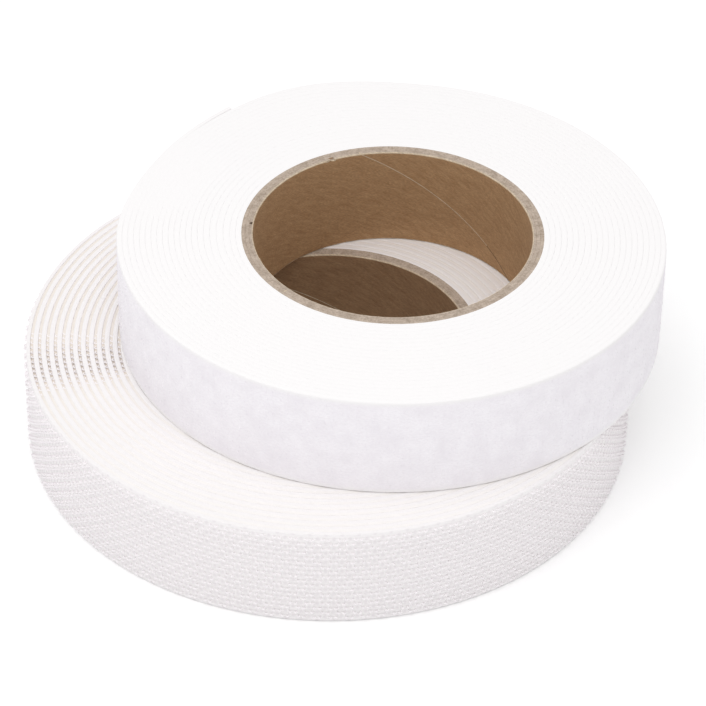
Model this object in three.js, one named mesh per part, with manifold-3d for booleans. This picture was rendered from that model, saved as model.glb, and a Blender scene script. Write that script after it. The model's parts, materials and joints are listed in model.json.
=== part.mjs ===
// A matched pair of sew-on fastening tapes. A roll of hook tape lies flat, and a smaller roll of loop
// tape is stacked on it, set a little to the right and to the back. Each tape is one unbroken strip,
// wound on a paper core of three plies, and its free end can be peeled off the roll.
// Millimetres, +Z up. The origin is the middle of the base of the stack.

import * as THREE from 'three';
import { mergeVertices } from 'three/addons/utils/BufferGeometryUtils.js';
import Module from 'manifold-3d';

const wasm = await Module();
wasm.setup();

// Paper cores: three kraft plies, each a strip wound on a helix whose edges meet in a butt seam
const CORE_BORE_DIAMETER = 76.2;
const CORE_PLY_THICKNESS = 0.9;
const GLUE_LINE = 0.15;
const SEAM_WIDTH = 0.4;
const SEAM_LEAD = 144;
const PLY_NAMES = ['inner', 'middle', 'outer'];

// Tapes: both have the same width and length, the hook tape is the thicker one
const TAPE_WIDTH = 30;
const TAPE_LENGTH = 7620;
const LOOP_TAPE_THICKNESS = 1.09;
const LOOP_TURN_GAP = 0.47;
const HOOK_TAPE_THICKNESS = 1.68;
const HOOK_TURN_GAP = 0.48;

// Core tab: the strip that holds the inner end of the tape on the core
const TAB_THICKNESS = 0.2;
const TAB_LENGTH = 21;
const TAB_MARGIN = 3;

// Free ends: how much tape swings at the peel line, and its clearances there and above its support
const TAIL_LENGTH = 60;
const PEEL_GAP = 0.3;
const TAIL_CLEARANCE = 0.3;

// Where the loop roll sits on the hook roll
const STACK_OFFSET_X = 16.6;
const STACK_OFFSET_Y = 8.1;

// Bearings of the tape ends and of the inner ply's seam at the top, in degrees from +X
const LOOP_TAPE_END = 128;
const LOOP_CORE_SEAM = 104;
const HOOK_TAPE_END = 100;
const HOOK_CORE_SEAM = 136;

// Finishes: colour and roughness
const KRAFT_FINISH = { roughness: 0.9, metalness: 0 };
const PLY_COLORS = ['#86674c', '#9a7d62', '#a98d72'];
const TAB_FINISH = { color: '#d9cda6', roughness: 0.4, metalness: 0 };
const HOOK_TAPE_FINISH = { color: '#ece8ea', roughness: 0.75, metalness: 0 };
const LOOP_TAPE_FINISH = { color: '#f3f0f3', roughness: 0.95, metalness: 0 };

// Facets: the outer turn, which makes the wall of a roll, is as fine as the cores
const STEPS_PER_TURN = 24;
const FINE_STEPS = 3 * STEPS_PER_TURN;
const SEAM_STEPS = 12;
const GAP_SAMPLES = 4;
const OWN_TURN = 0.5;

// Sizes that follow from the ones above
const CORE_LENGTH = TAPE_WIDTH;
const BORE_RADIUS = CORE_BORE_DIAMETER / 2;
const PLY_PITCH = CORE_PLY_THICKNESS + GLUE_LINE;
const CORE_RADIUS = BORE_RADIUS + PLY_NAMES.length * PLY_PITCH - GLUE_LINE;
const TAB_RADIUS = CORE_RADIUS + GLUE_LINE;
const STEP_ANGLE = (2 * Math.PI) / STEPS_PER_TURN;
const FACET_ANGLE = (2 * Math.PI) / FINE_STEPS;
const FIRST_TURN_RADIUS = (TAB_RADIUS + TAB_THICKNESS + GLUE_LINE) / Math.cos(STEP_ANGLE / 2);

const radians = THREE.MathUtils.degToRad;

function atBearing(radius, bearing) {
  return new THREE.Vector2(radius * Math.cos(bearing), radius * Math.sin(bearing));
}

function extrude(shape, height, steps = 1) {
  return new THREE.ExtrudeGeometry(shape, { depth: height, steps, bevelEnabled: false });
}

function toSolid(geometry) {
  const bare = geometry.clone();
  bare.deleteAttribute('normal');
  bare.deleteAttribute('uv');
  const merged = mergeVertices(bare);
  const vertProperties = new Float32Array(merged.attributes.position.array);
  const triVerts = new Uint32Array(merged.index.array);
  return new wasm.Manifold(new wasm.Mesh({ numProp: 3, vertProperties, triVerts }));
}

function toGeometry(solid) {
  const { vertProperties, triVerts } = solid.getMesh();
  const geometry = new THREE.BufferGeometry();
  geometry.setAttribute('position', new THREE.BufferAttribute(vertProperties, 3));
  geometry.setIndex(new THREE.BufferAttribute(triVerts, 1));
  geometry.computeVertexNormals();
  return geometry;
}

// A faceted ring; the bearing is that of one of its corners
function ringShape(innerRadius, outerRadius, bearing) {
  const circle = (radius) =>
    Array.from({ length: FINE_STEPS }, (_, i) => atBearing(radius, bearing + i * FACET_ANGLE));
  const shape = new THREE.Shape(circle(outerRadius));
  shape.holes.push(new THREE.Path(circle(innerRadius)));
  return shape;
}

// The thin helical gap between the edges of one ply, run past the ply on every side
function seamCut(innerRadius, outerRadius, seamBearing) {
  const past = CORE_PLY_THICKNESS;
  const blade = new THREE.Shape([
    new THREE.Vector2(innerRadius - past, -SEAM_WIDTH / 2),
    new THREE.Vector2(outerRadius + past, -SEAM_WIDTH / 2),
    new THREE.Vector2(outerRadius + past, SEAM_WIDTH / 2),
    new THREE.Vector2(innerRadius - past, SEAM_WIDTH / 2),
  ]);
  const geometry = extrude(blade, CORE_LENGTH + 2 * past, SEAM_STEPS);
  geometry.translate(0, 0, -past);
  const position = geometry.attributes.position;
  const axis = new THREE.Vector3(0, 0, 1);
  const point = new THREE.Vector3();
  for (let i = 0; i < position.count; i += 1) {
    point.fromBufferAttribute(position, i);
    const below = CORE_LENGTH - point.z;
    point.applyAxisAngle(axis, seamBearing - (2 * Math.PI * below) / SEAM_LEAD);
    position.setXYZ(i, point.x, point.y, point.z);
  }
  return toSolid(geometry);
}

// One ply of a core; the seams of the plies are staggered evenly round the core
function plyGeometry(index, roll) {
  const innerRadius = BORE_RADIUS + index * PLY_PITCH;
  const outerRadius = innerRadius + CORE_PLY_THICKNESS;
  const tube = extrude(ringShape(innerRadius, outerRadius, roll.tapeEnd), CORE_LENGTH);
  const stagger = (2 * Math.PI * index) / PLY_NAMES.length;
  return toGeometry(toSolid(tube).subtract(seamCut(innerRadius, outerRadius, roll.coreSeam + stagger)));
}

// The stations of a wound strip from its inner end to its free end. The radius grows by one pitch a
// turn while the bearing falls, so the tape runs outwards clockwise, seen from above.
function windingStations(roll) {
  const pitch = roll.thickness + roll.turnGap;
  const firstMiddle = FIRST_TURN_RADIUS + roll.thickness / 2;
  const exactTurns = (Math.sqrt(firstMiddle ** 2 + (pitch * TAPE_LENGTH) / Math.PI) - firstMiddle) / pitch;
  const innerSteps = Math.round((exactTurns - 1) * STEPS_PER_TURN);
  const outerTurn = innerSteps / STEPS_PER_TURN;
  const turns = [
    ...Array.from({ length: innerSteps }, (_, i) => i / STEPS_PER_TURN),
    ...Array.from({ length: FINE_STEPS + 1 }, (_, i) => outerTurn + i / FINE_STEPS),
  ];
  return turns.map((turn) => {
    const bearing = roll.tapeEnd + 2 * Math.PI * (outerTurn + 1 - turn);
    const radius = FIRST_TURN_RADIUS + pitch * turn;
    return { turn, inner: atBearing(radius, bearing), outer: atBearing(radius + roll.thickness, bearing) };
  });
}

function between(a, b, share) {
  return { inner: a.inner.clone().lerp(b.inner, share), outer: a.outer.clone().lerp(b.outer, share) };
}

// The strip from station to station, standing on edge
function stripGeometry(stations, base, height) {
  const outline = [...stations.map((s) => s.inner), ...stations.map((s) => s.outer).reverse()];
  const geometry = extrude(new THREE.Shape(outline), height);
  geometry.translate(0, 0, base);
  return geometry;
}

// The wound strip and its tail, split at the peel line a tail's length before the free end
function splitAtPeelLine(stations) {
  const last = stations.length - 1;
  const stepLength = stations[last].outer.distanceTo(stations[last - 1].outer);
  const peel = last - Math.max(1, Math.round(TAIL_LENGTH / stepLength));
  const tailStart = between(stations[peel], stations[peel + 1], PEEL_GAP / stepLength);
  return {
    wound: stations.slice(0, peel + 1),
    tail: [tailStart, ...stations.slice(peel + 1)],
  };
}

// The tab lies on whole facets of the core, under the first stretch of the tape
function tabGeometry(roll, stations) {
  const facets = Math.max(1, Math.round(TAB_LENGTH / (TAB_RADIUS * FACET_ANGLE)));
  const start = roll.tapeEnd + 2 * Math.PI * stations.at(-1).turn;
  const corners = Array.from({ length: facets + 1 }, (_, i) => ({
    inner: atBearing(TAB_RADIUS, start - i * FACET_ANGLE),
    outer: atBearing(TAB_RADIUS + TAB_THICKNESS, start - i * FACET_ANGLE),
  }));
  return stripGeometry(corners, TAB_MARGIN, TAPE_WIDTH - 2 * TAB_MARGIN);
}

// Points spread along the chords of a face of the strip
function facePoints(stations, face) {
  return stations.slice(1).flatMap((station, i) =>
    Array.from({ length: GAP_SAMPLES }, (_, k) => ({
      turn: stations[i].turn,
      place: stations[i][face].clone().lerp(station[face], k / GAP_SAMPLES),
    })));
}

// The least gap between turns, from points on the inner face to points on the outer one that lie
// more than half a turn further along the strip
function leastGap(stations) {
  const outerPoints = facePoints(stations, 'outer');
  const gaps = facePoints(stations, 'inner').map((point) => {
    const others = outerPoints.filter((other) => Math.abs(other.turn - point.turn) > OWN_TURN);
    return Math.min(...others.map((other) => other.place.distanceTo(point.place)));
  });
  return Math.min(...gaps);
}

function stripLength(stations) {
  const middles = stations.map((s) => s.inner.clone().add(s.outer).divideScalar(2));
  return middles.slice(1).reduce((sum, middle, i) => sum + middle.distanceTo(middles[i]), 0);
}

function mesh(name, geometry, finish) {
  const piece = new THREE.Mesh(geometry, new THREE.MeshStandardMaterial(finish));
  piece.name = name;
  return piece;
}

// One roll standing on z = 0 about its own axis
function makeRoll(roll) {
  const group = new THREE.Group();
  PLY_NAMES.forEach((ply, index) => {
    const finish = { ...KRAFT_FINISH, color: PLY_COLORS[index] };
    group.add(mesh(`${roll.name}_core_${ply}_ply`, plyGeometry(index, roll), finish));
  });
  const stations = windingStations(roll);
  const { wound, tail } = splitAtPeelLine(stations);
  group.add(mesh(`${roll.name}_core_tab`, tabGeometry(roll, stations), TAB_FINISH));
  group.add(mesh(`${roll.name}_tape`, stripGeometry(wound, 0, TAPE_WIDTH), roll.finish));
  const tailGeometry = stripGeometry(tail, TAIL_CLEARANCE, TAPE_WIDTH - TAIL_CLEARANCE);
  group.add(mesh(`${roll.name}_tape_tail`, tailGeometry, roll.finish));
  group.userData.peelLine = tail[0].outer;
  const last = stations.at(-1);
  console.log(
    `${roll.name}: ${last.turn.toFixed(2)} turns, ${(stripLength(stations) / 1000).toFixed(2)} m of tape,`,
    `outer radius ${last.outer.length().toFixed(2)} mm,`,
    `least gap between turns ${leastGap(stations).toFixed(3)} mm`,
  );
  return group;
}

const hookRoll = makeRoll({
  name: 'hook',
  thickness: HOOK_TAPE_THICKNESS,
  turnGap: HOOK_TURN_GAP,
  tapeEnd: radians(HOOK_TAPE_END),
  coreSeam: radians(HOOK_CORE_SEAM),
  finish: HOOK_TAPE_FINISH,
});

const loopRoll = makeRoll({
  name: 'loop',
  thickness: LOOP_TAPE_THICKNESS,
  turnGap: LOOP_TURN_GAP,
  tapeEnd: radians(LOOP_TAPE_END),
  coreSeam: radians(LOOP_CORE_SEAM),
  finish: LOOP_TAPE_FINISH,
});
loopRoll.position.set(STACK_OFFSET_X, STACK_OFFSET_Y, TAPE_WIDTH);

// The stack, moved so that the middle of its base is the origin
const stack = new THREE.Group();
stack.add(hookRoll, loopRoll);
const extent = new THREE.Box3().setFromObject(stack);
const middle = extent.getCenter(new THREE.Vector3());
stack.position.set(-middle.x, -middle.y, -extent.min.z);
stack.updateMatrixWorld(true);

for (const [name, group] of Object.entries({ hook: hookRoll, loop: loopRoll })) {
  const centre = group.localToWorld(new THREE.Vector3());
  const peel = group.localToWorld(new THREE.Vector3(...group.userData.peelLine.toArray(), 0));
  console.log(
    `${name}: axis at ${centre.x.toFixed(3)}, ${centre.y.toFixed(3)},`,
    `peel line at ${peel.x.toFixed(3)}, ${peel.y.toFixed(3)}`,
  );
}

export default stack;
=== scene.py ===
# %% [markdown]
# # Hook and loop tape roll
# Two rolls of white sew-on fastening tape lie one on the other: the lower one is the hook tape, the
# upper one the loop tape. Each is a flat strip wound on a brown paper core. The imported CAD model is
# loaded first and stays fixed. It gives every place and size, and the pieces made here dress it.

# %% Load the frame
import json
import math
import bmesh
import bpy
import numpy as np
from mathutils import Matrix, Vector, noise


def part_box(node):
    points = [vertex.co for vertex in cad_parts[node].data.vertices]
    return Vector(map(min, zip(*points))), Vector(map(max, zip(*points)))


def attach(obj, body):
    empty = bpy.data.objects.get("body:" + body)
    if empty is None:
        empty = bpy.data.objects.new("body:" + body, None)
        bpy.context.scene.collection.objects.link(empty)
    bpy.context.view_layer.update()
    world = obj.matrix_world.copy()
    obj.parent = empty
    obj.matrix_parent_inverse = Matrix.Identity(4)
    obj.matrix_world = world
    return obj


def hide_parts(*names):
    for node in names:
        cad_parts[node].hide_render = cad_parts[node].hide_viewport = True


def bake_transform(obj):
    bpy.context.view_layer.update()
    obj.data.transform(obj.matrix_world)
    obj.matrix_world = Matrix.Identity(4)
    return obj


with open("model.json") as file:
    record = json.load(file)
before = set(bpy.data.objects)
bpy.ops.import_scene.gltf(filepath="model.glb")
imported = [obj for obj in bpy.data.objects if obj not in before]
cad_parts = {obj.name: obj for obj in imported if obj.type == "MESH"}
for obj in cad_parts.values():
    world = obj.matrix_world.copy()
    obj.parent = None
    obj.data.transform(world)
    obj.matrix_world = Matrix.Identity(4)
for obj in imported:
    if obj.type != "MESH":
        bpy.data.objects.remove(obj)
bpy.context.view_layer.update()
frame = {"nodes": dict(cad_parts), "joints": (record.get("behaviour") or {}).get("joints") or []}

MM = 0.001

# %% [markdown]
# Everything that follows is placed by a few facts about each roll: its axis, its lower and upper
# face, the point where the tape ends, and the line where the free end starts to peel off. They could
# be typed in again, but read from the CAD nodes they can't drift away from the model.

# %% Read both rolls from the frame


def read_roll(kind):
    """The axis, height, outer radius, tape end and peel line of one roll, in metres and radians."""
    low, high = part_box(f"{kind}_core_inner_ply")
    axis = (low + high) / 2
    ply = frame["nodes"][f"{kind}_core_inner_ply"].data
    tail = frame["nodes"][f"{kind}_tape_tail"].data
    tip = max((v.co - axis for v in tail.vertices), key=lambda offset: offset.xy.length)
    hinge = next(j for j in frame["joints"] if j["name"] == f"{kind}_tail_peel")
    peel = Vector(hinge["pos_m"])
    return {
        "axis": axis,
        "bottom": low.z,
        "top": high.z,
        "bore_radius": min((v.co - axis).xy.length for v in ply.vertices),
        "outer_radius": tip.xy.length,
        "end_bearing": math.atan2(tip.y, tip.x),
        "peel": peel,
        "peel_bearing": math.atan2(peel.y - axis.y, peel.x - axis.x),
    }


ROLLS = {kind: read_roll(kind) for kind in ("hook", "loop")}
for kind, roll in ROLLS.items():
    print(kind, "roll:", roll)

# %% [markdown]
# The photograph was taken from the front, about 38 degrees above the table, with a long lens that
# hardly tapers the rolls. A camera can be placed by eye, but this one was fitted to the outlines of
# both rolls and both cores, so that the render can be laid over the photograph.

# %% Set the camera
# The image size and the focal length are in pixels of the photograph, the sensor width in millimetres.
IMAGE_SIZE = 706
FOCAL_LENGTH = 3295
SENSOR_WIDTH = 36
CAMERA_TARGET = Vector((3.11, -7.17, 30)) * MM
CAMERA_ELEVATION = math.radians(37.93)
CAMERA_ROLL = 0.016
CAMERA_DISTANCE = 902 * MM

camera_data = bpy.data.cameras.new("photo_camera")
camera_data.sensor_width = SENSOR_WIDTH
camera_data.lens = SENSOR_WIDTH * FOCAL_LENGTH / IMAGE_SIZE
camera = bpy.data.objects.new("photo_camera", camera_data)
bpy.context.collection.objects.link(camera)
backwards = Vector((0, -math.cos(CAMERA_ELEVATION), math.sin(CAMERA_ELEVATION)))
facing = backwards.to_track_quat("Z", "Y").to_matrix().to_4x4()
roll_turn = Matrix.Rotation(CAMERA_ROLL, 4, "Z")
camera.matrix_world = Matrix.Translation(CAMERA_TARGET + CAMERA_DISTANCE * backwards) @ facing @ roll_turn
bpy.context.scene.camera = camera
print("lens in mm:", round(camera_data.lens, 1))

# %% [markdown]
# Node materials and node worlds are built the same way: add a node, set its values, link its inputs.
# One small function does all of it. Colours are written as the hex values that a colour picker
# shows, which are sRGB, while the shaders work in linear light, so one function converts them.
# A Mix node has several sockets of one name, so its sockets go by number: the factor is 0, the two
# colours are 6 and 7, and the mixed colour comes out at 2.

# %% Helpers for colours and nodes


def linear(hex_colour):
    """An sRGB hex colour such as "F4F1F3" as linear red, green, blue and alpha."""
    channels = [int(hex_colour[i:i + 2], 16) / 255 for i in (0, 2, 4)]
    return [c / 12.92 if c <= 0.04045 else ((c + 0.055) / 1.055) ** 2.4 for c in channels] + [1.0]


def add(tree, kind, inputs=None, **settings):
    """Adds a node. Each input is a plain value, or the output socket that it is linked from."""
    node = tree.nodes.new(kind)
    for name, value in settings.items():
        setattr(node, name, value)
    for name, value in (inputs or {}).items():
        if isinstance(value, bpy.types.NodeSocket):
            tree.links.new(value, node.inputs[name])
        else:
            node.inputs[name].default_value = value
    return node


def start_material(name):
    """A new node material, with its node tree and its shader node."""
    material = bpy.data.materials.new(name)
    material.use_nodes = True
    return material, material.node_tree, material.node_tree.nodes["Principled BSDF"]


print("white tape in linear light:", [round(c, 3) for c in linear("F4F1F3")])

# %% [markdown]
# The rolls stand in a white studio. Most of the light comes from all around, so the shadows are soft,
# and one large lamp from the upper front left gives the walls their slight shading. The floor could
# be a lamp itself, but then it would hold no shadow. It is plain white paint, and the camera sees it
# a touch brighter than it is lit, so that it meets the white of the world behind it.

# %% Floor, light and world
FLOOR_SIZE = 8.0
FLOOR_DROP = 0.05 * MM
FLOOR_GLOW = 0.13
DOME_LEVEL = 0.75
LAMP_POWER = 6.8
LAMP_SIZE = 1.2
LAMP_PLACE = Vector((-0.2, -0.35, 1.3))


def seen_rays(tree):
    """An output that is 1 where the camera or a reflection looks, and 0 where light is gathered."""
    path = add(tree, "ShaderNodeLightPath")
    mirrored = add(tree, "ShaderNodeMath", {0: path.outputs["Is Glossy Ray"],
                                            1: path.outputs["Is Transmission Ray"]}, operation="MAXIMUM")
    seen = add(tree, "ShaderNodeMath", {0: path.outputs["Is Camera Ray"], 1: mirrored.outputs[0]},
               operation="MAXIMUM")
    return seen.outputs[0]


bm = bmesh.new()
bmesh.ops.create_grid(bm, x_segments=1, y_segments=1, size=FLOOR_SIZE / 2)
bmesh.ops.translate(bm, vec=(0, 0, -FLOOR_DROP), verts=bm.verts)
floor_mesh = bpy.data.meshes.new("studio_floor")
bm.to_mesh(floor_mesh)
bm.free()
floor = bpy.data.objects.new("studio_floor", floor_mesh)
bpy.context.collection.objects.link(floor)

paint, tree, shader = start_material("matt_white_paint")
shader.inputs["Roughness"].default_value = 0.9
shader.inputs["Base Color"].default_value = linear("F8F8F8")
glow = add(tree, "ShaderNodeEmission", {"Strength": seen_rays(tree),
                                        "Color": (FLOOR_GLOW, FLOOR_GLOW, FLOOR_GLOW, 1)})
lit = add(tree, "ShaderNodeAddShader", {0: shader.outputs[0], 1: glow.outputs[0]})
tree.links.new(lit.outputs[0], tree.nodes["Material Output"].inputs["Surface"])
floor_mesh.materials.append(paint)

world = bpy.data.worlds.new("white_studio")
world.use_nodes = True
bpy.context.scene.world = world
tree = world.node_tree
level = add(tree, "ShaderNodeMapRange", {"Value": seen_rays(tree), "To Min": DOME_LEVEL, "To Max": 1.0})
tree.links.new(level.outputs[0], tree.nodes["Background"].inputs["Strength"])
tree.nodes["Background"].inputs["Color"].default_value = (1, 1, 1, 1)

lamp_data = bpy.data.lights.new("softbox", "AREA")
lamp_data.size = LAMP_SIZE
lamp_data.energy = LAMP_POWER
lamp = bpy.data.objects.new("softbox", lamp_data)
lamp.location = LAMP_PLACE
lamp.rotation_euler = LAMP_PLACE.to_track_quat("Z", "Y").to_euler()
bpy.context.collection.objects.link(lamp)
bpy.context.scene.view_settings.view_transform = "Standard"
print("studio floor", FLOOR_SIZE, "m across")

# %% [markdown]
# Nearly everything here starts as flat material and is wound up: the paper plies of the cores and
# both tapes. So each piece is modelled flat, where length, width and thickness are plain x, y and z,
# and then wound. The Simple Deform and Curve modifiers can bend a strip too, but neither makes a
# spiral with the right length of strip in every turn, so the winding is a small table of its own: how
# much strip each turn takes up. The step over the strip's inner end, uneven edges, a slight ripple
# and a roll that isn't quite round are part of the table.

# %% The winding
TABLE_STEPS_PER_TURN = 240
FIRST_CLIMB = 0.02
SETTLING_TURNS = 8
RIPPLES_PER_TURN = 7.3
WANDERS_PER_TURN = 1.7
RIPPLE_SLICE = 5.0
WANDER_SLICE = 0.0


class Winding:
    """A strip wound clockwise round an axis: x along it, y down from its upper edge, z outwards."""

    def __init__(self, axis, top, inner, outer, turns, end_bearing):
        self.axis, self.top, self.turns, self.end_bearing = axis, top, turns, end_bearing
        self.turn = np.linspace(-1, turns + 1, int((turns + 2) * TABLE_STEPS_PER_TURN))
        # The first turn steps over the inner end at once. Further out the step spreads until the strip
        # climbs evenly.
        whole = np.floor(self.turn)
        climb = np.clip(FIRST_CLIMB + whole / SETTLING_TURNS, FIRST_CLIMB, 1)
        risen = whole + np.clip((self.turn - whole - 1 + climb) / climb, 0, 1)
        self.radius = inner + (outer - inner) / turns * risen
        self.wander = np.zeros_like(self.turn)
        self.swell = np.ones_like(self.turn)
        self.sink = np.zeros_like(self.turn)
        self.thickness = 1.0
        self.slant = 0.0

    def loosen(self, ripple, wander, seed):
        """Lets the turns ripple in and out and wander up and down by small amounts."""
        ripples = [noise.noise((RIPPLES_PER_TURN * t, seed, RIPPLE_SLICE)) for t in self.turn]
        wanders = [noise.noise((WANDERS_PER_TURN * t, seed, WANDER_SLICE)) for t in self.turn]
        self.radius = self.radius + ripple * np.array(ripples)
        self.wander = wander * np.array(wanders)
        return self

    def dent(self, centre, reach, height):
        """Presses the outer turns out (or in) round one bearing, as on a roll that isn't quite round."""
        away = (self.bearing_at(self.turn) - centre + math.pi) % (2 * math.pi) - math.pi
        bump = 0.5 + 0.5 * np.cos(math.pi * np.clip(away / reach, -1, 1))
        self.radius = self.radius + height * bump * np.clip(self.turn / self.turns, 0, 1) ** 2
        return self

    def fill(self, thickness, gap):
        """Lets soft tape swell until it nearly touches the core and the turn outside it."""
        room = np.interp(self.turn + 1, self.turn, self.radius) - self.radius
        inside = self.turn < self.turns - 1
        self.swell = np.where(inside, np.maximum(room - gap, thickness) / thickness, 1.0)
        self.sink = np.where(self.turn < 1, self.radius - np.interp(0.0, self.turn, self.radius), 0.0)
        self.thickness = thickness
        return self

    def measure(self, middle):
        """Fills the table of strip length, taken along the middle of its thickness."""
        steps = np.diff(self.turn) * 2 * math.pi * ((self.radius[1:] + self.radius[:-1]) / 2 + middle)
        self.length = np.concatenate([[0.0], np.cumsum(steps)])
        self.length -= np.interp(0.0, self.turn, self.length)
        return self

    def length_at(self, turn):
        """How much strip has been wound up at a turn."""
        return float(np.interp(turn, self.turn, self.length))

    def turn_at(self, length):
        """The turn that a place on the strip ends up in."""
        return np.interp(length, self.length, self.turn)

    def one_turn_before(self, length):
        """The place on the strip that lies one turn further in."""
        return self.length_at(self.turn_at(length) - 1)

    def bearing_at(self, turn):
        """The bearing that the strip has reached at a turn."""
        return self.end_bearing + 2 * math.pi * (self.turns - turn)

    def wind(self, flat):
        """Flat points, one to a row, on the roll."""
        along, down, out = flat.T
        turn = self.turn_at(along + self.slant * down)
        radius = np.interp(turn, self.turn, self.radius) + out * np.interp(turn, self.turn, self.swell)
        radius -= np.interp(turn, self.turn, self.sink) * (1 - out / self.thickness)
        height = self.top - down - np.interp(turn, self.turn, self.wander)
        bearing = self.bearing_at(turn)
        x = self.axis.x + radius * np.cos(bearing)
        y = self.axis.y + radius * np.sin(bearing)
        return np.stack([x, y, height], axis=1)


trial = Winding(Vector(), 0, 40 * MM, 40 * MM, 1, 0).measure(0)
print("one turn of 40 mm radius takes", round(trial.length_at(1) / MM, 2), "mm of strip")

# %% [markdown]
# A flat strip is a grid that is extruded to its thickness. Real strip edges are never sharp, so the
# four long edges are bevelled, with a radius of their own on the back and on the face. The flat place
# of every point is kept as an attribute called flat, which the materials read: a weave or a paper
# grain then follows the strip round the roll, as if it had been there before winding.

# %% Flat strips and wound objects
NEAR = 1e-7
ROUND_SEGMENTS = 3
CREASE_ANGLE = math.radians(40)


def extrude_up(bm, height):
    """Extrudes a flat shape upwards."""
    raised = bmesh.ops.extrude_face_region(bm, geom=bm.faces[:])["geom"]
    verts = [v for v in raised if isinstance(v, bmesh.types.BMVert)]
    bmesh.ops.translate(bm, vec=(0, 0, height), verts=verts)


def flat_strip(length, width, thickness, steps, back_radius, face_radius, first=0.0, rows=1):
    """A flat strip along x with rounded long edges, as a bmesh in metres."""
    bm = bmesh.new()
    bmesh.ops.create_grid(bm, x_segments=steps, y_segments=rows, size=0.5)
    bmesh.ops.translate(bm, vec=(0.5, 0.5, 0), verts=bm.verts)
    bmesh.ops.scale(bm, vec=(length, width, 1), verts=bm.verts)
    bmesh.ops.translate(bm, vec=(first, 0, 0), verts=bm.verts)
    extrude_up(bm, thickness)
    bmesh.ops.recalc_face_normals(bm, faces=bm.faces)
    for height, radius in ((0.0, back_radius), (thickness, face_radius)):
        edges = [e for e in bm.edges
                 if all(abs(v.co.z - height) < NEAR for v in e.verts)
                 and abs(e.verts[0].co.y - e.verts[1].co.y) < NEAR
                 and min(e.verts[0].co.y, width - e.verts[0].co.y) < NEAR]
        bmesh.ops.bevel(bm, geom=edges, offset=radius, segments=ROUND_SEGMENTS, profile=0.5,
                        affect="EDGES", material=-1)
    return bm


def finished_mesh(name, bm):
    """A bmesh as a mesh, which ends the bmesh."""
    mesh = bpy.data.meshes.new(name)
    bm.to_mesh(mesh)
    bm.free()
    return mesh


def points_of(mesh):
    """All points of a mesh as an array, one to a row."""
    points = np.empty(3 * len(mesh.vertices))
    mesh.vertices.foreach_get("co", points)
    return points.reshape(-1, 3)


def wound_object(name, shape, winding, *materials):
    """Winds a flat bmesh or mesh up, with its flat points kept as an attribute, and makes it an object."""
    mesh = finished_mesh(name, shape) if isinstance(shape, bmesh.types.BMesh) else shape
    flat = points_of(mesh)
    kept = mesh.attributes.new("flat", "FLOAT_VECTOR", "POINT")
    kept.data.foreach_set("vector", flat.ravel())
    mesh.vertices.foreach_set("co", winding.wind(flat).ravel())
    mesh.shade_smooth()
    mesh.set_sharp_from_angle(angle=CREASE_ANGLE)
    for material in materials:
        mesh.materials.append(material)
    mesh.update()
    made = bpy.data.objects.new(name, mesh)
    bpy.context.collection.objects.link(made)
    return made


sample = flat_strip(100 * MM, 30 * MM, 1 * MM, 10, 0.1 * MM, 0.1 * MM)
open_edges = sum(not e.is_manifold for e in sample.edges)
print("a strip of 10 steps has", len(sample.faces), "faces, open edges:", open_edges)
sample.free()

# %% [markdown]
# The cores are spiral-wound tubes of recycled kraft paper. Its face is brown and matt, with a fine
# mottle and short darker and paler fibres that run along the paper. An image of real board would show
# this, but noise in the flat coordinates of the strip needs no image and follows the slanting ply.
# The lower core is a darker board and a frayed edge is paler. A very dark kraft is painted shade at
# the lower end of one seam.

# %% Recycled kraft paper, calendered: brown, matt, flecked with fibres
# A single fibre is about 0.03 mm wide, too fine to show, so the flecks are drawn as bundles of fibres.
FIBRE_LENGTH = 0.55
FIBRE_WIDTH = 0.32
MOTTLE_SIZE = 2.2


def kraft_paper(name, dark, pale):
    """Kraft paper between two browns, in the flat coordinates of its ply."""
    material, tree, shader = start_material(name)
    flat = add(tree, "ShaderNodeAttribute", attribute_name="flat")
    fibres = add(tree, "ShaderNodeMapping", {"Vector": flat.outputs["Vector"],
                                             "Scale": (1 / (FIBRE_LENGTH * MM), 1 / (FIBRE_WIDTH * MM), 0)})
    fleck = add(tree, "ShaderNodeTexNoise", {"Vector": fibres.outputs[0], "Scale": 1.0, "Detail": 2.0})
    mottle = add(tree, "ShaderNodeTexNoise", {"Vector": flat.outputs["Vector"],
                                              "Scale": 1 / (MOTTLE_SIZE * MM),
                                              "Detail": 4.0, "Roughness": 0.65})
    tone = add(tree, "ShaderNodeMapRange", {"Value": mottle.outputs["Fac"], "From Min": 0.3, "From Max": 0.7})
    ground = add(tree, "ShaderNodeMix", {0: tone.outputs[0], 6: linear(dark), 7: linear(pale)},
                 data_type="RGBA")
    spot = add(tree, "ShaderNodeMapRange", {"Value": fleck.outputs["Fac"], "From Min": 0.3, "From Max": 0.75,
                                            "To Min": 0.76, "To Max": 1.2})
    flecked = add(tree, "ShaderNodeMix", {0: 1.0, 6: ground.outputs[2], 7: spot.outputs[0]},
                  data_type="RGBA", blend_type="MULTIPLY")
    relief = add(tree, "ShaderNodeBump", {"Height": fleck.outputs["Fac"], "Strength": 0.25,
                                          "Distance": 0.05 * MM})
    tree.links.new(flecked.outputs[2], shader.inputs["Base Color"])
    tree.links.new(relief.outputs[0], shader.inputs["Normal"])
    shader.inputs["Roughness"].default_value = 0.85
    shader.inputs["IOR"].default_value = 1.5
    return material


kraft = {"loop": kraft_paper("recycled_kraft_paper", "A37E59", "BB9770"),
         "hook": kraft_paper("recycled_kraft_paper_dark", "8B6B4D", "A58564")}
frayed = kraft_paper("frayed_kraft_fibre", "C6B297", "DBCBB3")
# Painted shade: a very dark kraft for the shade in the gap at the lower end of a seam.
seam_shade_kraft = kraft_paper("painted_seam_shade_kraft_paper", "4E3B2B", "66503B")
print("kraft flecks", FIBRE_LENGTH, "by", FIBRE_WIDTH, "mm")

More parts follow.
